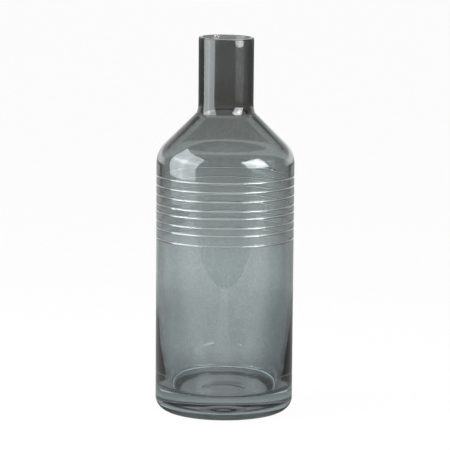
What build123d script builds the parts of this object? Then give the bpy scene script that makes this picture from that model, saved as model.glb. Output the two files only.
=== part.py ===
from build123d import *
import math
import os

# Bottle vase of cased glass, in millimetres: a clear blown bottle under a thin smoke-grey layer,
# which eight wheel-cut lines divide into islands. The origin is the centre of the foot, +Z is up.

# Outer form
total_height = 300.0
body_diameter = 110.0
neck_diameter = 44.0
neck_height = 58.7
shoulder_slope = 44.5
shoulder_blend_radius = 22.0
foot_edge_radius = 10.5
foot_reach = 12.5
foot_slope = 12.0
rim_polish_radius = 0.7
rim_polish_wall_share = 0.9

# Flare at the foot of the neck, and the shares of its length that its two rounds take
neck_flare_reach = 1.35
neck_flare_slope = 20.0
neck_flare_arc_share = 0.88
neck_foot_arc_share = 0.1

# Smoke layer, thinner where the bottle was blown wider
layer_neck = 1.0
layer_shoulder = 0.83
layer_body = 0.72
layer_foot = 0.48

# Whole wall, with the layer
neck_wall = 3.3
shoulder_wall = 4.4
upper_wall = 4.4
lower_wall = 2.4
bore_blend_radius = 9.7

# Heavy base
base_thickness = 18.3
floor_corner_radius = 5.0
heel_height = 46.0
heel_reach = 8.6
heel_arc_share = 0.8

# Underside: the standing ring, the hollow inside it and the polished dimple where the rod broke off
standing_ring_width = 6.0
hollow_depth = 2.0
pontil_diameter = 36.0
pontil_depth = 4.5

# Cut lines: the drop of the first one below the shoulder, their mean pitch and their uneven gaps
first_line_drop = 9.5
line_pitch = 7.07
line_gap_shares = (1.03, 1.05, 1.05, 0.82, 1.06, 0.85, 1.15)
line_cut_radius = 0.8

# Places worked out from the sizes above
neck_radius = neck_diameter / 2
body_radius = body_diameter / 2
bore_radius = neck_radius - neck_wall
slope = math.radians(shoulder_slope)
half_shoulder_turn = math.radians(90 - shoulder_slope) / 2
flare_slope = math.radians(neck_flare_slope)
flare_length = neck_flare_reach / math.sin(flare_slope)
neck_flare_radius = flare_length * neck_flare_arc_share / math.tan(flare_slope / 2)
neck_foot_radius = flare_length * neck_foot_arc_share / math.tan(half_shoulder_turn - flare_slope / 2)
neck_corner_height = total_height - neck_height
underside_slope = math.radians(foot_slope)
ring_radius = body_radius - foot_reach
hollow_radius = ring_radius - standing_ring_width
hollow_bow = (hollow_radius**2 + hollow_depth**2) / (2 * hollow_depth)
pontil_radius = pontil_diameter / 2
pontil_edge = hollow_depth - hollow_bow + math.sqrt(hollow_bow**2 - pontil_radius**2)
rim_fillet = min(rim_polish_radius, layer_neck * rim_polish_wall_share)


def cone_height(radius, depth):
    """Height of the shoulder cone at this radius, this deep under its outer face."""
    run = radius - neck_radius
    return neck_corner_height - run * math.tan(slope) - depth / math.cos(slope)


def foot_height(radius, depth):
    """Height of the underside's outer slope at this radius, this deep under its outer face."""
    return (radius - ring_radius) * math.tan(underside_slope) + depth / math.cos(underside_slope)


shoulder_end = cone_height(body_radius, 0) - shoulder_blend_radius * math.tan(half_shoulder_turn)
line_heights = [shoulder_end - first_line_drop]
for gap_share in line_gap_shares:
    line_heights.append(line_heights[-1] - line_pitch * gap_share)


def bottle_face(at_neck, at_shoulder, at_body, at_foot, mode=Mode.ADD):
    """Half section of the bottle as blown, these depths under its outer face, foot still unground."""
    neck_side = neck_radius - at_neck
    flare_side = neck_side + neck_flare_reach
    flare_foot = cone_height(flare_side, at_shoulder)
    body_top = body_radius - at_body
    body_low = body_radius - at_foot
    with BuildLine() as outline:
        side = FilletPolyline(
            (neck_side, total_height),
            (neck_side, flare_foot + neck_flare_reach / math.tan(flare_slope)),
            (flare_side, flare_foot),
            (body_top, cone_height(body_top, at_shoulder)),
            (body_low, foot_height(body_low, at_foot)),
            (0, foot_height(0, at_foot)),
            radius=[
                neck_flare_radius,
                neck_foot_radius,
                shoulder_blend_radius - at_shoulder,
                foot_edge_radius - at_foot,
            ],
        )
        Polyline(side @ 1, (0, total_height), side @ 0)
    make_face(outline.edges(), mode=mode)


def clear_face(mode=Mode.ADD):
    """Half section of the bottle inside the smoke layer."""
    bottle_face(layer_neck, layer_shoulder, layer_body, layer_foot, mode)


def cavity_face():
    """Takes the bore, the shoulder and the body's cavity out of the half section."""
    cavity_top = body_radius - upper_wall
    cavity_low = body_radius - lower_wall
    floor_edge = cavity_low - heel_reach
    heel_corner = base_thickness + heel_height
    heel_run = math.hypot(heel_reach, heel_height)
    heel_turn = math.atan2(heel_reach, heel_height)
    heel_radius = heel_run * heel_arc_share / math.tan(heel_turn / 2)
    with BuildLine() as outline:
        side = FilletPolyline(
            (bore_radius, total_height),
            (bore_radius, cone_height(bore_radius, shoulder_wall)),
            (cavity_top, cone_height(cavity_top, shoulder_wall)),
            (cavity_low, heel_corner),
            (floor_edge, base_thickness),
            (0, base_thickness),
            radius=[
                bore_blend_radius,
                shoulder_blend_radius - shoulder_wall,
                heel_radius,
                floor_corner_radius,
            ],
        )
        Polyline(side @ 1, (0, total_height), side @ 0)
    make_face(outline.edges(), mode=Mode.SUBTRACT)


def dome_face(radius, depth, edge):
    """Takes a shallow dome of this radius and depth out of the underside, from its edge's height up."""
    with BuildLine() as outline:
        dome = TangentArc((0, edge + depth), (radius, edge), tangent=(1, 0))
        Polyline(dome @ 1, (0, edge), dome @ 0)
    make_face(outline.edges(), mode=Mode.SUBTRACT)


def layer_face(top, bottom):
    """Half section of the smoke layer between two heights, with the cut lines taken out of it."""
    bottle_face(0, 0, 0, 0)
    clear_face(Mode.SUBTRACT)
    with Locations((0, bottom)):
        Rectangle(body_diameter, top - bottom, align=Align.MIN, mode=Mode.INTERSECT)
    with Locations([(body_radius, height) for height in line_heights]):
        Circle(line_cut_radius, mode=Mode.SUBTRACT)


def top_circles(piece):
    """The circles of the rim, the smallest first."""
    return piece.edges().filter_by(GeomType.CIRCLE).group_by(Axis.Z)[-1].sort_by(SortBy.RADIUS)


os.makedirs("parts", exist_ok=True)

# Clear bottle: bore and cavity inside, ground to a standing ring underneath
with BuildPart() as clear_glass_body:
    with BuildSketch(Plane.XZ):
        clear_face()
        Rectangle(body_diameter, total_height, align=Align.MIN, mode=Mode.INTERSECT)
        cavity_face()
        dome_face(hollow_radius, hollow_depth, 0)
        dome_face(pontil_radius, pontil_depth, pontil_edge)
    revolve(axis=Axis.Z)
    fillet(top_circles(clear_glass_body)[0], radius=rim_fillet)
clear_glass_body.part.label = "clear_glass_body"
export_step(clear_glass_body.part, "parts/clear_glass_body.step")

# Smoke layer from the rim to the first cut line
with BuildPart() as smoke_neck_shoulder:
    with BuildSketch(Plane.XZ):
        layer_face(total_height, line_heights[0])
    revolve(axis=Axis.Z)
    fillet(top_circles(smoke_neck_shoulder)[-1], radius=rim_fillet)
smoke_neck_shoulder.part.label = "smoke_neck_shoulder"
export_step(smoke_neck_shoulder.part, "parts/smoke_neck_shoulder.step")

# Rings of smoke layer left between the cut lines, counted from the top
for number, (upper_line, lower_line) in enumerate(zip(line_heights, line_heights[1:]), start=1):
    with BuildPart() as smoke_band:
        with BuildSketch(Plane.XZ):
            layer_face(upper_line, lower_line)
        revolve(axis=Axis.Z)
    smoke_band.part.label = f"smoke_band_{number}"
    export_step(smoke_band.part, f"parts/smoke_band_{number}.step")

# Smoke layer from the last cut line down to the ground foot
with BuildPart() as smoke_lower_body:
    with BuildSketch(Plane.XZ):
        layer_face(line_heights[-1], 0)
    revolve(axis=Axis.Z)
smoke_lower_body.part.label = "smoke_lower_body"
export_step(smoke_lower_body.part, "parts/smoke_lower_body.step")

# The sizes that the mounts state
bore_blend = bore_blend_radius * math.tan(half_shoulder_turn)
bore_bottom = cone_height(bore_radius, shoulder_wall) + bore_blend
print("neck bore radius", round(bore_radius, 3))
print("standing ring from", round(hollow_radius, 3), "to", round(ring_radius, 3))
print("neck bore from", round(bore_bottom, 3), "to", round(total_height - rim_fillet, 3))
print("cut lines at", [round(height, 2) for height in line_heights])
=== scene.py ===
import math

import bmesh
import bpy
from mathutils import Matrix, Vector


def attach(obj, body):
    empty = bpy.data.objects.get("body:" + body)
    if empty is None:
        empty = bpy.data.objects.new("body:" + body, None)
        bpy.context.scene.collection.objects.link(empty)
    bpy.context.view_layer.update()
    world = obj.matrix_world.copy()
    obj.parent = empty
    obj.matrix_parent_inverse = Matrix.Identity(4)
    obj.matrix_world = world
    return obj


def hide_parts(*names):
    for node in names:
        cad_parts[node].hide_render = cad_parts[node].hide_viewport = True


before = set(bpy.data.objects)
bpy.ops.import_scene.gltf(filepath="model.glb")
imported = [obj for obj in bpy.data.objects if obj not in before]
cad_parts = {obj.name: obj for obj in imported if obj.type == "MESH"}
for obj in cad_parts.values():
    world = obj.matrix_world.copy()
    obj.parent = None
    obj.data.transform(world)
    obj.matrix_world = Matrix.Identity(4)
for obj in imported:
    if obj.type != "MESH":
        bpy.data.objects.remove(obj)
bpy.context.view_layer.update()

# Sizes of the vase, in metres, as in the CAD model
MM = 0.001
TOTAL_HEIGHT = 300.0 * MM
NECK_RADIUS = 22.0 * MM
BODY_RADIUS = 55.0 * MM
NECK_CORNER_HEIGHT = 241.3 * MM
SHOULDER_SLOPE = math.radians(44.5)
NECK_FLARE_REACH = 1.35 * MM
NECK_FLARE_SLOPE = math.radians(20.0)
NECK_FLARE_ARC_SHARE = 0.88
NECK_FOOT_ARC_SHARE = 0.1
BORE_BLEND = 9.7 * MM
SHOULDER_BLEND = 22.0 * MM
FOOT_EDGE = 10.5 * MM
RING_RADIUS = 42.5 * MM
FOOT_SLOPE = math.radians(12.0)
RIM_POLISH = 0.7 * MM
LAYER_NECK = 1.0 * MM
LAYER_SHOULDER = 0.83 * MM
LAYER_BODY = 0.72 * MM
LAYER_FOOT = 0.48 * MM
NECK_WALL = 3.3 * MM
SHOULDER_WALL = 4.4 * MM
UPPER_WALL = 4.4 * MM
LOWER_WALL = 2.4 * MM
BASE_THICKNESS = 18.3 * MM
FLOOR_CORNER = 5.0 * MM
HEEL_HEIGHT = 46.0 * MM
HEEL_REACH = 8.6 * MM
HEEL_ARC_SHARE = 0.8
STANDING_RING_WIDTH = 6.0 * MM
HOLLOW_DEPTH = 2.0 * MM
PONTIL_RADIUS = 18.0 * MM
PONTIL_DEPTH = 4.5 * MM
FIRST_LINE_DROP = 9.5 * MM
LINE_PITCH = 7.07 * MM
LINE_GAP_SHARES = (1.03, 1.05, 1.05, 0.82, 1.06, 0.85, 1.15)
LINE_CUT_RADIUS = 0.8 * MM

# Tops of the ground and of the satin foot, above the table
GROUND_HEIGHT = 0.9 * MM
SATIN_HEIGHT = 7.5 * MM

# Ends of the pale ring in the cavity's corner, above the floor: a painted highlight along the corner
PAINTED_HIGHLIGHT_RING_RISES = (0.9 * MM, 1.65 * MM)

# Fineness of the turned meshes
TURN_STEPS = 192
ARC_STEP = math.radians(3.0)
CUT_ARC_STEP = math.radians(12.0)
ROUND_LEAST_STEPS = 4
ARC_LEAST_STEPS = 2
DOME_STEPS = 12
HOLLOW_STEPS = 36
SUPPORT_GAP = 0.4 * MM
SHORT_LINE = 3 * SUPPORT_GAP
AXIS_REACH = SUPPORT_GAP / 100
LINE_STEP = 14.0 * MM
SHARP_ANGLE = math.radians(35.0)

# Hand-cut rim: it falls towards the front and a little towards the right, from this height up
RIM_FALL_FRONT = math.tan(math.radians(1.6))
RIM_FALL_RIGHT = math.tan(math.radians(0.7))
RIM_FALL_START = 262.0 * MM

# Face tags of a turned section
OUTER, FUSED, CUT, SATIN, GROUND, INNER, PAINTED_HIGHLIGHT_RING = range(7)


def cone_height(radius, depth):
    """Height of the shoulder cone at this radius, this deep under its outer face."""
    run = radius - NECK_RADIUS
    return NECK_CORNER_HEIGHT - run * math.tan(SHOULDER_SLOPE) - depth / math.cos(SHOULDER_SLOPE)


def foot_height(radius, depth):
    """Height of the underside's outer slope at this radius, this deep under its outer face."""
    return (radius - RING_RADIUS) * math.tan(FOOT_SLOPE) + depth / math.cos(FOOT_SLOPE)


def rounded(points, radii):
    """Points of a path with its inner corners rounded, finer on the arcs and near their ends."""
    corners = [Vector(p) for p in points]
    path = [corners[0]]
    for before, corner, after, radius in zip(corners, corners[1:], corners[2:], radii):
        back = (before - corner).normalized()
        ahead = (after - corner).normalized()
        half = back.angle(ahead) / 2
        reach = radius / math.tan(half)
        centre = corner + (back + ahead).normalized() * (radius / math.sin(half))
        start = corner + back * reach - centre
        end = corner + ahead * reach - centre
        turn = start.angle(end)
        steps = max(ROUND_LEAST_STEPS, math.ceil(turn / ARC_STEP))
        path += straight(path[-1], centre + start)
        for step in range(1, steps + 1):
            part = turn * step / steps
            spread = (start * math.sin(turn - part) + end * math.sin(part)) / math.sin(turn)
            path.append(centre + spread)
    path += straight(path[-1], corners[-1])
    return path


def straight(start, end):
    """Points from start, left out, to end, with a close one near each end to hold the shading."""
    run = end - start
    length = run.length
    if length < SHORT_LINE:
        return [end]
    inner = max(1, math.ceil(length / LINE_STEP))
    ways = [SUPPORT_GAP]
    ways += [length * step / inner for step in range(1, inner)]
    ways += [length - SUPPORT_GAP, length]
    return [start + run * (way / length) for way in ways]


def bottle_side(at_neck, at_shoulder, at_body, at_foot):
    """Side of the bottle, these depths under its outer face, from the rim down to the ground foot."""
    neck_side = NECK_RADIUS - at_neck
    body_top = BODY_RADIUS - at_body
    body_low = BODY_RADIUS - at_foot
    flare_side = neck_side + NECK_FLARE_REACH
    flare_foot = cone_height(flare_side, at_shoulder)
    points = [
        (neck_side, TOTAL_HEIGHT),
        (neck_side, flare_foot + NECK_FLARE_REACH / math.tan(NECK_FLARE_SLOPE)),
        (flare_side, flare_foot),
        (body_top, cone_height(body_top, at_shoulder)),
        (body_low, foot_height(body_low, at_foot)),
        (0, foot_height(0, at_foot)),
    ]
    flare_length = NECK_FLARE_REACH / math.sin(NECK_FLARE_SLOPE)
    flare_radius = flare_length * NECK_FLARE_ARC_SHARE / math.tan(NECK_FLARE_SLOPE / 2)
    foot_turn = math.pi / 2 - SHOULDER_SLOPE - NECK_FLARE_SLOPE
    foot_radius = flare_length * NECK_FOOT_ARC_SHARE / math.tan(foot_turn / 2)
    radii = [flare_radius, foot_radius, SHOULDER_BLEND - at_shoulder, FOOT_EDGE - at_foot]
    return between(rounded(points, radii), TOTAL_HEIGHT, 0)


def between(side, top, bottom):
    """The stretch of a falling side between two heights, with its ends on them."""
    kept = []
    for start, end in zip(side, side[1:]):
        for height in (top, bottom):
            if start.y > height > end.y:
                kept.append(start.lerp(end, (start.y - height) / (start.y - end.y)))
        if bottom <= end.y <= top:
            kept.append(end)
    if side[0].y <= top:
        kept.insert(0, side[0])
    return kept


def cavity_side():
    """Inside of the bottle, from the centre of its floor up to the rim."""
    bore = NECK_RADIUS - NECK_WALL
    cavity_top = BODY_RADIUS - UPPER_WALL
    cavity_low = BODY_RADIUS - LOWER_WALL
    floor_edge = cavity_low - HEEL_REACH
    heel_turn = math.atan2(HEEL_REACH, HEEL_HEIGHT)
    heel_run = math.hypot(HEEL_REACH, HEEL_HEIGHT)
    points = [
        (bore, TOTAL_HEIGHT),
        (bore, cone_height(bore, SHOULDER_WALL)),
        (cavity_top, cone_height(cavity_top, SHOULDER_WALL)),
        (cavity_low, BASE_THICKNESS + HEEL_HEIGHT),
        (floor_edge, BASE_THICKNESS),
        (0, BASE_THICKNESS),
    ]
    heel_radius = heel_run * HEEL_ARC_SHARE / math.tan(heel_turn / 2)
    radii = [BORE_BLEND, SHOULDER_BLEND - SHOULDER_WALL, heel_radius, FLOOR_CORNER]
    return rounded(points, radii)[::-1]


def arc(centre, radius, start, end, step):
    """Points on an arc from one angle to another, both ends included."""
    count = max(ARC_LEAST_STEPS, math.ceil(abs(end - start) / step))
    angles = [start + (end - start) * part / count for part in range(count + 1)]
    x, y = centre
    return [Vector((x + radius * math.cos(a), y + radius * math.sin(a))) for a in angles]


def dome(radius, depth, foot):
    """Points on a shallow dome, from its top on the axis out to its edge."""
    bow = (radius**2 + depth**2) / (2 * depth)
    turn = math.asin(radius / bow)
    return arc((0, foot + depth - bow), bow, math.pi / 2, math.pi / 2 - turn, turn / DOME_STEPS)


def line_heights():
    """Heights of the cut lines, from the top."""
    half_turn = (math.pi / 2 - SHOULDER_SLOPE) / 2
    shoulder_end = cone_height(BODY_RADIUS, 0) - SHOULDER_BLEND * math.tan(half_turn)
    heights = [shoulder_end - FIRST_LINE_DROP]
    for share in LINE_GAP_SHARES:
        heights.append(heights[-1] - LINE_PITCH * share)
    return heights


LINES = line_heights()
OUTER_SIDE = bottle_side(0, 0, 0, 0)
CLEAR_SIDE = bottle_side(LAYER_NECK, LAYER_SHOULDER, LAYER_BODY, LAYER_FOOT)


def clear_radius(height):
    """Radius of the clear glass under the layer on the straight body."""
    low = BODY_RADIUS - LAYER_FOOT
    top = BODY_RADIUS - LAYER_BODY
    top_height = cone_height(top, LAYER_SHOULDER)
    foot = foot_height(low, LAYER_FOOT)
    return low + (top - low) * (height - foot) / (top_height - foot)


def cut_angle(height):
    """Angle, from straight inwards, at which a cut line's round meets the clear glass."""
    return math.acos((BODY_RADIUS - clear_radius(height)) / LINE_CUT_RADIUS)


def tagged(points, tag):
    """Each point with the tag of the face that runs on from it."""
    return [(point, tag) for point in points]


def layer_section(upper, lower):
    """Closed section of the smoke layer between two cut lines; None stands for the rim or the foot."""
    section = []
    top = TOTAL_HEIGHT if upper is None else upper - LINE_CUT_RADIUS
    bottom = 0 if lower is None else lower + LINE_CUT_RADIUS
    clear_top = TOTAL_HEIGHT
    clear_bottom = 0
    outer = between(OUTER_SIDE, top, bottom)
    if upper is None:
        edge = (NECK_RADIUS - RIM_POLISH, TOTAL_HEIGHT - RIM_POLISH)
        polish = arc(edge, RIM_POLISH, math.pi / 2, 0, CUT_ARC_STEP)
        outer = polish + between(outer, edge[1] - SUPPORT_GAP, bottom)
    else:
        clear_top = upper - LINE_CUT_RADIUS * math.sin(cut_angle(upper))
    for point in outer[:-1]:
        worn = GROUND if point.y < GROUND_HEIGHT else SATIN
        section.append((point, OUTER if point.y > SATIN_HEIGHT else worn))
    if lower is None:
        section += tagged([outer[-1]], GROUND)
    else:
        inward = math.pi - cut_angle(lower)
        rounds = arc((BODY_RADIUS, lower), LINE_CUT_RADIUS, math.pi / 2, inward, CUT_ARC_STEP)
        section += tagged(rounds[:-1], CUT)
        clear_bottom = lower + LINE_CUT_RADIUS * math.sin(cut_angle(lower))
    clear = between(CLEAR_SIDE, clear_top, clear_bottom)[::-1]
    section += tagged(clear[:-1], FUSED)
    if upper is None:
        section += tagged([clear[-1]], OUTER)
    else:
        inward = math.pi + cut_angle(upper)
        rounds = arc((BODY_RADIUS, upper), LINE_CUT_RADIUS, inward, 3 * math.pi / 2, CUT_ARC_STEP)
        section += tagged(rounds[:-1], CUT)
    return section


def clear_section():
    """Section of the clear bottle from the centre of its underside round to the centre of its floor."""
    section = []
    hollow = RING_RADIUS - STANDING_RING_WIDTH
    hollow_radius = (hollow**2 + HOLLOW_DEPTH**2) / (2 * HOLLOW_DEPTH)
    hollow_turn = math.asin(hollow / hollow_radius)
    pontil_turn = math.asin(PONTIL_RADIUS / hollow_radius)
    centre = (0, HOLLOW_DEPTH - hollow_radius)
    pontil_edge = centre[1] + math.sqrt(hollow_radius**2 - PONTIL_RADIUS**2)
    section += tagged(dome(PONTIL_RADIUS, PONTIL_DEPTH, pontil_edge)[:-1], INNER)
    quarter = math.pi / 2
    step = hollow_turn / HOLLOW_STEPS
    under = arc(centre, hollow_radius, quarter - pontil_turn, quarter - hollow_turn, step)
    section += tagged(under, GROUND)
    bottom = 0
    for line in LINES[::-1]:
        reach = LINE_CUT_RADIUS * math.sin(cut_angle(line))
        section += tagged(between(CLEAR_SIDE, line - reach, bottom)[::-1][:-1], FUSED)
        inward = math.pi + cut_angle(line)
        rounds = arc((BODY_RADIUS, line), LINE_CUT_RADIUS, inward, 2 * math.pi - inward, CUT_ARC_STEP)
        section += tagged(rounds[:-1], CUT)
        bottom = line + reach
    section += tagged(between(CLEAR_SIDE, TOTAL_HEIGHT, bottom)[::-1][:-1], FUSED)
    section += tagged([CLEAR_SIDE[0]], INNER)
    cavity = cavity_side()
    bore = cavity[-1].x
    edge = (bore + RIM_POLISH, TOTAL_HEIGHT - RIM_POLISH)
    section += tagged(arc(edge, RIM_POLISH, math.pi / 2, math.pi, CUT_ARC_STEP), INNER)
    # The pale ring near the floor's corner is a painted highlight
    low, high = PAINTED_HIGHLIGHT_RING_RISES
    for point in cavity[::-1]:
        if point.y < edge[1] - SUPPORT_GAP:
            in_painted_highlight_ring = low < point.y - BASE_THICKNESS < high
            section.append((point, PAINTED_HIGHLIGHT_RING if in_painted_highlight_ring else INNER))
    return section


def rim_fall(x, y, z):
    """Height that the hand-cut rim gives this point."""
    share = max(0.0, (z - RIM_FALL_START) / (TOTAL_HEIGHT - RIM_FALL_START))
    ease = share * share * (3 - 2 * share)
    return z + ease * (y * RIM_FALL_FRONT - x * RIM_FALL_RIGHT)


def lathe(name, section, materials, inwards):
    """Turns a section about the axis into a piece; each face takes its tag's material, or is left out.

    A section that runs down its outer side is turned inwards, so that its faces look out."""
    made = bmesh.new()
    rings = []
    for point, _ in section:
        if point.x < AXIS_REACH:
            rings.append([made.verts.new((0, 0, point.y))])
            continue
        ring = []
        for step in range(TURN_STEPS):
            angle = 2 * math.pi * step / TURN_STEPS
            x, y = point.x * math.cos(angle), point.x * math.sin(angle)
            ring.append(made.verts.new((x, y, rim_fall(x, y, point.y))))
        rings.append(ring)
    slots = list(dict.fromkeys(materials[tag].name for _, tag in section if tag in materials))
    for number, (_, tag) in enumerate(section):
        here, there = rings[number], rings[(number + 1) % len(rings)]
        if tag not in materials or len(here) == len(there) == 1:
            continue
        for step in range(TURN_STEPS):
            after = (step + 1) % TURN_STEPS
            if len(here) == 1:
                corners = (here[0], there[after], there[step])
            elif len(there) == 1:
                corners = (here[step], here[after], there[0])
            else:
                corners = (here[step], here[after], there[after], there[step])
            face = made.faces.new(corners[::-1] if inwards else corners)
            face.material_index = slots.index(materials[tag].name)
            face.smooth = True
    bmesh.ops.delete(made, geom=[v for v in made.verts if not v.link_faces], context="VERTS")
    mesh = bpy.data.meshes.new(name)
    made.to_mesh(mesh)
    made.free()
    for slot_name in slots:
        mesh.materials.append(bpy.data.materials[slot_name])
    mesh.set_sharp_from_angle(angle=SHARP_ANGLE)
    piece = bpy.data.objects.new(name, mesh)
    bpy.context.scene.collection.objects.link(piece)
    return piece


# Looks of the glass

GLASS_IOR = 1.5
SMOKE_ROUGHNESS = 0.02
CLEAR_ROUGHNESS = 0.01
CLEAR_COLOUR = (0.95, 0.97, 0.965, 1)
CUT_ROUGHNESS = 0.08
CUT_COLOUR = (0.8, 0.82, 0.82, 1)
CUT_COAT_IOR = 1.9
CUT_COAT_ROUGHNESS = 0.15
GROUND_ROUGHNESS = 0.35
GROUND_COLOUR = (0.85, 0.87, 0.87, 1)
GROUND_ALPHA = 0.25
# Pale ring in the cavity's corner: a painted highlight
PAINTED_HIGHLIGHT_RING_ROUGHNESS = 0.3
PAINTED_HIGHLIGHT_RING_COLOUR = (0.9, 0.92, 0.92, 1)
SATIN_ROUGHNESS = 0.4
SATIN_COLOUR = (0.2, 0.235, 0.24, 1)
SATIN_IOR = 1.15

# Noise as its scale, per metre, and its detail, and bumps as their strength and depth
CLOUDS = (28.0, 3.0)
CLOUD_SHARES = (0.88, 1.12)
GRAIN = (750.0, 1.0)
GRAIN_SHARES = (0.74, 1.26)
SMOKE_WAVES = (30.0, 2.0)
SMOKE_BUMP = (0.15, 0.5 * MM)
CLEAR_WAVES = (60.0, 1.0)
CLEAR_BUMP = (0.2, 0.6 * MM)
CUT_MARKS = (900.0, 2.0)
CUT_BUMP = (0.15, 0.1 * MM)
GROUND_MARKS = (150.0, 2.0)
GROUND_BUMP = (0.3, 0.5 * MM)

# Colour of the smoke layer, by shares of the vase's height
SMOKE_RAMP = (
    (0.00, (0.40, 0.465, 0.472)),
    (0.25, (0.40, 0.467, 0.475)),
    (0.40, (0.38, 0.438, 0.438)),
    (0.53, (0.427, 0.488, 0.482)),
    (0.60, (0.407, 0.453, 0.447)),
    (0.66, (0.308, 0.346, 0.339)),
    (0.74, (0.276, 0.299, 0.295)),
    (0.798, (0.241, 0.256, 0.250)),
    (0.802, (0.100, 0.100, 0.095)),
    (0.835, (0.101, 0.101, 0.096)),
    (0.90, (0.133, 0.138, 0.133)),
    (1.00, (0.136, 0.141, 0.136)),
)


def nodes_in(tree):
    """A maker of nodes in this tree."""

    def add(kind, **values):
        node = tree.nodes.new(kind)
        for key, value in values.items():
            setattr(node, key, value)
        return node

    return add


def calculated(tree, add, operation, *values):
    """Result of a sum on sockets and plain numbers."""
    node = add("ShaderNodeMath", operation=operation)
    for place, value in zip(node.inputs, values):
        if isinstance(value, (int, float)):
            place.default_value = value
        else:
            tree.links.new(value, place)
    return node.outputs[0]


def stepped(tree, add, value, edges):
    """Zero below the first edge, one above the second, eased between them."""
    node = add("ShaderNodeMapRange", interpolation_type="SMOOTHSTEP")
    node.inputs["From Min"].default_value = edges[0]
    node.inputs["From Max"].default_value = edges[1]
    tree.links.new(value, node.inputs["Value"])
    return node.outputs["Result"]


def new_material(name):
    """A material, its node tree, left empty, and a maker of nodes in it."""
    material = bpy.data.materials.new(name)
    material.use_nodes = True
    tree = material.node_tree
    tree.nodes.clear()
    return material, tree, nodes_in(tree)


def glass_shader(tree, add, roughness):
    """Principled glass joined to the output, with its plain numbers set."""
    output = add("ShaderNodeOutputMaterial")
    shader = add("ShaderNodeBsdfPrincipled")
    shader.inputs["IOR"].default_value = GLASS_IOR
    shader.inputs["Transmission Weight"].default_value = 1.0
    shader.inputs["Roughness"].default_value = roughness
    tree.links.new(shader.outputs["BSDF"], output.inputs["Surface"])
    return shader


def noise(tree, add, scale, detail, coordinates):
    """Noise in the object's own space."""
    texture = add("ShaderNodeTexNoise")
    texture.inputs["Scale"].default_value = scale
    texture.inputs["Detail"].default_value = detail
    tree.links.new(coordinates, texture.inputs["Vector"])
    return texture.outputs["Fac"]


def ranged(tree, add, value, low, high):
    """A value between 0 and 1 spread between two numbers."""
    spread = add("ShaderNodeMapRange")
    spread.inputs["To Min"].default_value = low
    spread.inputs["To Max"].default_value = high
    tree.links.new(value, spread.inputs["Value"])
    return spread.outputs["Result"]


def bump(tree, add, shader, height, strength, distance):
    """Bump from a height joined to the shader."""
    node = add("ShaderNodeBump")
    node.inputs["Strength"].default_value = strength
    node.inputs["Distance"].default_value = distance
    tree.links.new(height, node.inputs["Height"])
    tree.links.new(node.outputs["Normal"], shader.inputs["Normal"])


def smoke_glass():
    """Smoke-grey layer: darker towards the neck, where it is thicker, clouded and finely grained."""
    material, tree, add = new_material("smoke_glass")
    shader = glass_shader(tree, add, SMOKE_ROUGHNESS)
    place = add("ShaderNodeTexCoord").outputs["Object"]
    split = add("ShaderNodeSeparateXYZ")
    tree.links.new(place, split.inputs[0])
    height = calculated(tree, add, "DIVIDE", split.outputs["Z"], TOTAL_HEIGHT)
    ramp = add("ShaderNodeValToRGB")
    stops = ramp.color_ramp.elements
    for share, _ in SMOKE_RAMP[1:-1]:
        stops.new(share)
    for stop, (_, colour) in zip(stops, SMOKE_RAMP):
        stop.color = (*colour, 1)
    tree.links.new(height, ramp.inputs["Fac"])
    clouds = ranged(tree, add, noise(tree, add, *CLOUDS, place), *CLOUD_SHARES)
    grain = ranged(tree, add, noise(tree, add, *GRAIN, place), *GRAIN_SHARES)
    both = calculated(tree, add, "MULTIPLY", clouds, grain)
    tint = add("ShaderNodeVectorMath", operation="SCALE")
    tree.links.new(ramp.outputs["Color"], tint.inputs[0])
    tree.links.new(both, tint.inputs["Scale"])
    tree.links.new(tint.outputs[0], shader.inputs["Base Color"])
    bump(tree, add, shader, noise(tree, add, *SMOKE_WAVES, place), *SMOKE_BUMP)
    return material


def clear_glass():
    """Clear inner glass, gently uneven where it was blown free."""
    material, tree, add = new_material("clear_glass")
    shader = glass_shader(tree, add, CLEAR_ROUGHNESS)
    shader.inputs["Base Color"].default_value = CLEAR_COLOUR
    place = add("ShaderNodeTexCoord").outputs["Object"]
    bump(tree, add, shader, noise(tree, add, *CLEAR_WAVES, place), *CLEAR_BUMP)
    return material


def cut_glass():
    """Wheel-cut lines: polished, with the fine marks of the wheel."""
    material, tree, add = new_material("cut_glass")
    shader = glass_shader(tree, add, CUT_ROUGHNESS)
    shader.inputs["Base Color"].default_value = CUT_COLOUR
    shader.inputs["Coat Weight"].default_value = 1.0
    shader.inputs["Coat IOR"].default_value = CUT_COAT_IOR
    shader.inputs["Coat Roughness"].default_value = CUT_COAT_ROUGHNESS
    place = add("ShaderNodeTexCoord").outputs["Object"]
    bump(tree, add, shader, noise(tree, add, *CUT_MARKS, place), *CUT_BUMP)
    return material


def ground_glass():
    """Ground and polished underside, mostly see-through, so that the table shows in it."""
    material, tree, add = new_material("ground_glass")
    shader = glass_shader(tree, add, GROUND_ROUGHNESS)
    shader.inputs["Alpha"].default_value = GROUND_ALPHA
    shader.inputs["Base Color"].default_value = GROUND_COLOUR
    place = add("ShaderNodeTexCoord").outputs["Object"]
    bump(tree, add, shader, noise(tree, add, *GROUND_MARKS, place), *GROUND_BUMP)
    return material


def painted_highlight_ring_glass():
    """Painted highlight: a pale ring round the floor, where the cavity's corner turns; it lets no light
    through.
    """
    material, tree, add = new_material("painted_highlight_ring_material")
    shader = glass_shader(tree, add, PAINTED_HIGHLIGHT_RING_ROUGHNESS)
    shader.inputs["Transmission Weight"].default_value = 0.0
    shader.inputs["Base Color"].default_value = PAINTED_HIGHLIGHT_RING_COLOUR
    return material


def satin_glass():
    """Edge of the foot, dulled by the grinding."""
    material, tree, add = new_material("satin_glass")
    shader = glass_shader(tree, add, SATIN_ROUGHNESS)
    shader.inputs["IOR"].default_value = SATIN_IOR
    shader.inputs["Base Color"].default_value = SATIN_COLOUR
    return material


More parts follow.
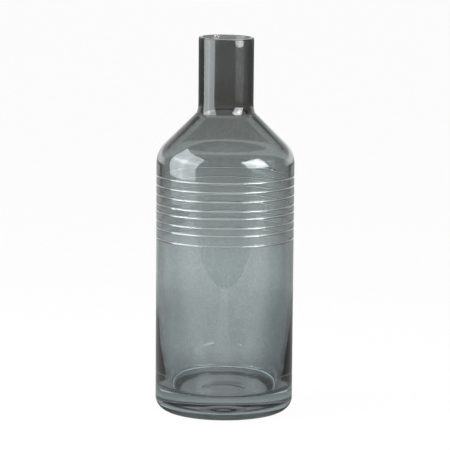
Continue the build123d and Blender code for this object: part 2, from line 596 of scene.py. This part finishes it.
smoke = smoke_glass()
clear = clear_glass()
cut = cut_glass()
ground = ground_glass()
satin = satin_glass()
painted_highlight_ring = painted_highlight_ring_glass()
LAYER_LOOK = {OUTER: smoke, CUT: cut, SATIN: satin, GROUND: ground}
CLEAR_LOOK = {INNER: clear, CUT: cut, GROUND: ground, PAINTED_HIGHLIGHT_RING: painted_highlight_ring}


def settle(piece, node):
    """Puts a piece in its CAD node's place."""
    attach(piece, "root")
    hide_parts(node)


settle(lathe("clear_body", clear_section(), CLEAR_LOOK, False), "clear_glass_body")
edges = [None, *LINES, None]
nodes = ["smoke_neck_shoulder", *(f"smoke_band_{n}" for n in range(1, len(LINES))), "smoke_lower_body"]
for node, upper, lower in zip(nodes, edges, edges[1:]):
    piece = lathe(node.replace("smoke", "layer"), layer_section(upper, lower), LAYER_LOOK, True)
    settle(piece, node)


# Studio: a pale table in a dim room, a white backdrop behind it and two softboxes, in metres

PAPER_COLOUR = (0.85, 0.85, 0.85, 1)
TABLE_TOP = -0.05 * MM
TABLE_HALF_WIDTH = 1.04
TABLE_FRONT = -0.68
TABLE_BACK = 9.0
TABLE_WHITE_SHARE = 0.95
TABLE_LIT_SHARE = 0.62

# Painted shadows round and under the vase and a painted pool of light behind it, on the table as the
# glass shows it: centre, edges of the fade and tone
PAINTED_TABLE_SHADOWS_AND_POOL = (
    ((0.0, 0.0), (0.034, 0.038), 0.88),
    ((0.0, 0.0), (0.05, 0.16), 0.5),
    ((0.34, 0.10), (0.05, 0.40), 0.5),
    ((-0.26, 0.20), (0.05, 0.35), 0.9),
    ((-0.14, 0.80), (0.0, 0.50), 1.43),
)

# Painted light on the front of the table, by its place along Y
PAINTED_FRONT_LIGHT_EDGES = (-0.3, -0.06)
PAINTED_FRONT_LIGHT = 2.6

# Painted shade on the right and left of the table, by the bearing from the vase: side, edges of the
# fade and tone
PAINTED_SIDE_SHADE_NEAR = 0.3
PAINTED_SIDE_SHADES = ((1.0, (0.09, 0.25), 0.7), (-1.0, (0.22, 0.34), 0.8))

# Painted contact shadow under the standing ring, as distances from the axis and from the shadow's
# middle
CONTACT_SHADOW_RADIUS = RING_RADIUS
CONTACT_SHADOW_EDGES = (0.005, 0.0075)
CONTACT_SHADOW_SHARE = 0.02

# Backdrop and room, by the parts of a direction that point back, up and aside
BACKDROP_EDGES = (0.40, 0.60)
HORIZON_EDGES = (-0.075, -0.05)
BACKDROP_FADES = (((0.1, 0.2), 0.4), ((0.28, 0.42), 0.2))
ROOM_STRENGTH = 0.1
SIDE_EDGES = (0.4, 0.8)
SIDE_STRENGTH = 0.22
ROOM_LIGHT = 0.4

# Camera
CAMERA_DISTANCE = 1.978
CAMERA_HEIGHT = 0.442
CAMERA_PITCH = math.radians(8.40)
CAMERA_ROLL = math.radians(0.45)
CAMERA_LENS = 200.2
CAMERA_SENSOR = 36.0


def in_glass(tree, add, rays):
    """One for a ray that glass has bent or thrown back, zero for any other."""
    kinds = (rays.outputs["Is Glossy Ray"], rays.outputs["Is Transmission Ray"])
    return calculated(tree, add, "MAXIMUM", *kinds)


def table():
    """Pale table: white to the eye; where the glass shows it, an emission with painted shadows, painted
    light and painted shade in place of its own shading.
    """
    material, tree, add = new_material("table")
    output = add("ShaderNodeOutputMaterial")
    paper = add("ShaderNodeBsdfDiffuse")
    paper.inputs["Color"].default_value = PAPER_COLOUR
    white = add("ShaderNodeEmission")
    white.inputs["Color"].default_value = (1, 1, 1, 1)
    place = add("ShaderNodeTexCoord").outputs["Object"]
    lit = TABLE_LIT_SHARE
    # Painted shadows and a painted pool of light on the table
    for centre, edges, tone in PAINTED_TABLE_SHADOWS_AND_POOL:
        away = add("ShaderNodeVectorMath", operation="DISTANCE")
        away.inputs[1].default_value = (*centre, 0)
        tree.links.new(place, away.inputs[0])
        open_share = ranged(tree, add, stepped(tree, add, away.outputs["Value"], edges), tone, 1.0)
        lit = calculated(tree, add, "MULTIPLY", lit, open_share)
    split = add("ShaderNodeSeparateXYZ")
    tree.links.new(place, split.inputs[0])
    # Painted light on the table's front
    front_light = ranged(tree, add, stepped(tree, add, split.outputs["Y"], PAINTED_FRONT_LIGHT_EDGES), PAINTED_FRONT_LIGHT, 1.0)
    lit = calculated(tree, add, "MULTIPLY", lit, front_light)
    # Painted shade on the table's right and left
    behind = calculated(tree, add, "MAXIMUM", split.outputs["Y"], PAINTED_SIDE_SHADE_NEAR)
    bearing = calculated(tree, add, "DIVIDE", split.outputs["X"], behind)
    for side, edges, tone in PAINTED_SIDE_SHADES:
        aside = calculated(tree, add, "MULTIPLY", bearing, side)
        open_share = ranged(tree, add, stepped(tree, add, aside, edges), 1.0, tone)
        lit = calculated(tree, add, "MULTIPLY", lit, open_share)
    # Painted contact shadow under the standing ring
    away = add("ShaderNodeVectorMath", operation="LENGTH")
    tree.links.new(place, away.inputs[0])
    off = calculated(tree, add, "SUBTRACT", away.outputs["Value"], CONTACT_SHADOW_RADIUS)
    off = calculated(tree, add, "ABSOLUTE", off)
    off = stepped(tree, add, off, CONTACT_SHADOW_EDGES)
    lit = calculated(tree, add, "MULTIPLY", lit, ranged(tree, add, off, CONTACT_SHADOW_SHARE, 1.0))
    rays = add("ShaderNodeLightPath")
    glass = in_glass(tree, add, rays)
    eye = rays.outputs["Is Camera Ray"]
    shown = calculated(tree, add, "MULTIPLY", glass, lit)
    tree.links.new(calculated(tree, add, "MAXIMUM", shown, eye), white.inputs["Strength"])
    mostly = calculated(tree, add, "MULTIPLY", eye, TABLE_WHITE_SHARE)
    own = calculated(tree, add, "MAXIMUM", glass, mostly)
    mix = add("ShaderNodeMixShader")
    tree.links.new(own, mix.inputs["Fac"])
    tree.links.new(paper.outputs["BSDF"], mix.inputs[1])
    tree.links.new(white.outputs["Emission"], mix.inputs[2])
    tree.links.new(mix.outputs["Shader"], output.inputs["Surface"])
    mesh = bpy.data.meshes.new("table")
    corners = [
        (-TABLE_HALF_WIDTH, TABLE_FRONT, TABLE_TOP),
        (TABLE_HALF_WIDTH, TABLE_FRONT, TABLE_TOP),
        (TABLE_HALF_WIDTH, TABLE_BACK, TABLE_TOP),
        (-TABLE_HALF_WIDTH, TABLE_BACK, TABLE_TOP),
    ]
    mesh.from_pydata(corners, [], [(0, 1, 2, 3)])
    mesh.materials.append(material)
    floor = bpy.data.objects.new("table", mesh)
    bpy.context.scene.collection.objects.link(floor)


def backdrop():
    """White to the eye; in the glass, white behind the table and dim in the rest of the room."""
    world = bpy.data.worlds.new("studio")
    bpy.context.scene.world = world
    world.use_nodes = True
    tree = world.node_tree
    tree.nodes.clear()
    add = nodes_in(tree)
    way = add("ShaderNodeSeparateXYZ")
    tree.links.new(add("ShaderNodeTexCoord").outputs["Generated"], way.inputs[0])
    behind = stepped(tree, add, way.outputs["Y"], BACKDROP_EDGES)
    above = stepped(tree, add, way.outputs["Z"], HORIZON_EDGES)
    white = calculated(tree, add, "MULTIPLY", behind, above)
    for edges, share in BACKDROP_FADES:
        fade = stepped(tree, add, way.outputs["Z"], edges)
        white = calculated(tree, add, "MULTIPLY", white, ranged(tree, add, fade, 1.0, share))
    aside = stepped(tree, add, calculated(tree, add, "ABSOLUTE", way.outputs["X"]), SIDE_EDGES)
    dim = ranged(tree, add, aside, ROOM_STRENGTH, SIDE_STRENGTH)
    room = calculated(tree, add, "MAXIMUM", white, dim)
    rays = add("ShaderNodeLightPath")
    glass = in_glass(tree, add, rays)
    glass = calculated(tree, add, "MULTIPLY", glass, room)
    light = calculated(tree, add, "MULTIPLY", rays.outputs["Is Diffuse Ray"], ROOM_LIGHT)
    strength = calculated(tree, add, "MAXIMUM", rays.outputs["Is Camera Ray"], glass)
    strength = calculated(tree, add, "MAXIMUM", strength, light)
    background = add("ShaderNodeBackground")
    background.inputs["Color"].default_value = (1, 1, 1, 1)
    tree.links.new(strength, background.inputs["Strength"])
    output = add("ShaderNodeOutputWorld")
    tree.links.new(background.outputs[0], output.inputs["Surface"])


# Bright seams across the softboxes and the spot where they cross

SEAM_WIDTH = 50 * MM
SPOT_WIDTH = 60 * MM
UPRIGHT_SEAM_GAIN = 0.4
LEVEL_SEAM_GAIN = 0.75
SPOT_GAIN = 1.2


def followed(tree, add, value, points):
    """A value put through a curve, both running from 0 to 1."""
    node = add("ShaderNodeFloatCurve")
    curve = node.mapping.curves[0]
    for stop, point in zip(curve.points, (points[0], points[-1])):
        stop.location = point
    for point in points[1:-1]:
        curve.points.new(*point)
    node.mapping.update()
    tree.links.new(value, node.inputs["Value"])
    return node.outputs["Value"]


def softbox(name, centre, facing, tilt, roll, outline, cross, slant, radiance, colour):
    """Softbox behind a mask that gives it its bowed edges, with bright seams across it.

    The outline holds points of the left, right, lower and upper edge, seen from behind,
    in metres from the centre."""
    left, right, low, top = outline
    u0, u1 = min(u for u, _ in left), max(u for u, _ in right)
    v0, v1 = min(v for _, v in low), max(v for _, v in top)
    width, height = u1 - u0, v1 - v0
    level_way = Vector((math.sin(facing), -math.cos(facing), 0))
    way = level_way * math.cos(tilt) + Vector((0, 0, math.sin(tilt)))
    side = Vector((0, 0, 1)).cross(way).normalized()
    up = way.cross(side)
    side, up = (
        side * math.cos(roll) + up * math.sin(roll),
        up * math.cos(roll) - side * math.sin(roll),
    )
    data = bpy.data.lights.new(name, "AREA")
    data.shape = "RECTANGLE"
    data.size = width
    data.size_y = height
    data.energy = radiance * math.pi * width * height
    data.color = colour
    data.use_nodes = True
    tree = data.node_tree
    tree.nodes.clear()
    add = nodes_in(tree)
    place = add("ShaderNodeSeparateXYZ")
    tree.links.new(add("ShaderNodeNewGeometry").outputs["Parametric"], place.inputs[0])
    across, along = place.outputs["X"], place.outputs["Y"]

    def upright(edge):
        shares = [((v - v0) / height, (u - u0) / width) for u, v in edge]
        return followed(tree, add, along, sorted(shares))

    def level(edge):
        shares = [((u - u0) / width, (v - v0) / height) for u, v in edge]
        return followed(tree, add, across, sorted(shares))

    def hump(value, size):
        squared = calculated(tree, add, "POWER", calculated(tree, add, "DIVIDE", value, size), 2.0)
        return calculated(tree, add, "DIVIDE", 1.0, calculated(tree, add, "ADD", squared, 1.0))

    shown = calculated(tree, add, "GREATER_THAN", across, upright(left))
    for inside in (
        calculated(tree, add, "LESS_THAN", across, upright(right)),
        calculated(tree, add, "GREATER_THAN", along, level(low)),
        calculated(tree, add, "LESS_THAN", along, level(top)),
    ):
        shown = calculated(tree, add, "MULTIPLY", shown, inside)
    u = calculated(tree, add, "MULTIPLY_ADD", across, width, u0 - cross[0])
    v = calculated(tree, add, "MULTIPLY_ADD", along, height, v0 - cross[1])
    v = calculated(tree, add, "MULTIPLY_ADD", u, slant, v)
    spot = calculated(tree, add, "MULTIPLY", hump(u, SPOT_WIDTH), hump(v, SPOT_WIDTH))
    bright = calculated(tree, add, "MULTIPLY_ADD", hump(u, SEAM_WIDTH), UPRIGHT_SEAM_GAIN, 1.0)
    bright = calculated(tree, add, "MULTIPLY_ADD", hump(v, SEAM_WIDTH), LEVEL_SEAM_GAIN, bright)
    bright = calculated(tree, add, "MULTIPLY_ADD", spot, SPOT_GAIN, bright)
    emission = add("ShaderNodeEmission")
    tree.links.new(calculated(tree, add, "MULTIPLY", bright, shown), emission.inputs["Strength"])
    output = add("ShaderNodeOutputLight")
    tree.links.new(emission.outputs[0], output.inputs["Surface"])
    lamp = bpy.data.objects.new(name, data)
    middle = Vector(centre) + side * (u0 + u1) / 2 + up * (v0 + v1) / 2
    lamp.matrix_world = Matrix.Translation(middle) @ Matrix((side, up, way)).transposed().to_4x4()
    lamp.visible_camera = False
    bpy.context.scene.collection.objects.link(lamp)


def camera():
    """Camera at the photograph's place, found from the outline and the cut lines."""
    data = bpy.data.cameras.new("camera")
    data.lens = CAMERA_LENS
    data.sensor_width = CAMERA_SENSOR
    view = bpy.data.objects.new("camera", data)
    turn = Matrix.Rotation(math.pi / 2 - CAMERA_PITCH, 4, "X") @ Matrix.Rotation(CAMERA_ROLL, 4, "Z")
    view.matrix_world = Matrix.Translation((0, -CAMERA_DISTANCE, CAMERA_HEIGHT)) @ turn
    bpy.context.scene.collection.objects.link(view)
    bpy.context.scene.camera = view


table()
backdrop()
softbox(
    "softbox_left",
    centre=(-0.630, -0.208, 0.429),
    facing=math.radians(-81.6),
    tilt=math.radians(21.1),
    roll=math.radians(-4.2),
    outline=(
        (
            (-0.388, -0.390),
            (-0.385, -0.200),
            (-0.362, 0.010),
            (-0.335, 0.200),
            (-0.380, 0.358),
            (-0.460, 0.465),
        ),
        ((0.396, -0.390), (0.390, -0.200), (0.378, 0.0), (0.380, 0.200), (0.396, 0.465)),
        (
            (-0.460, -0.390),
            (-0.370, -0.388),
            (-0.200, -0.372),
            (-0.047, -0.360),
            (0.095, -0.353),
            (0.396, -0.348),
        ),
        (
            (-0.460, 0.465),
            (-0.383, 0.455),
            (-0.226, 0.386),
            (-0.063, 0.353),
            (0.121, 0.348),
            (0.396, 0.335),
        ),
    ),
    cross=(-0.025, 0.0),
    slant=0.0,
    radiance=4.7,
    colour=(0.93, 0.97, 1.0),
)
softbox(
    "softbox_right",
    centre=(0.516, -0.410, 0.441),
    facing=math.radians(46.6),
    tilt=math.radians(1.7),
    roll=0,
    outline=(
        (
            (-0.160, -0.201),
            (-0.196, -0.112),
            (-0.236, -0.011),
            (-0.277, 0.078),
            (-0.290, 0.130),
            (-0.290, 0.252),
        ),
        ((0.288, -0.201), (0.245, -0.056), (0.205, 0.069), (0.160, 0.252)),
        ((-0.290, -0.195), (-0.119, -0.195), (0.063, -0.196), (0.288, -0.201)),
        ((-0.290, 0.130), (-0.147, 0.173), (0.003, 0.220), (0.288, 0.252)),
    ),
    cross=(0.054, 0.017),
    slant=0.35,
    radiance=8.2,
    colour=(0.95, 0.97, 1.0),
)
camera()

bpy.context.scene.view_settings.view_transform = "Standard"
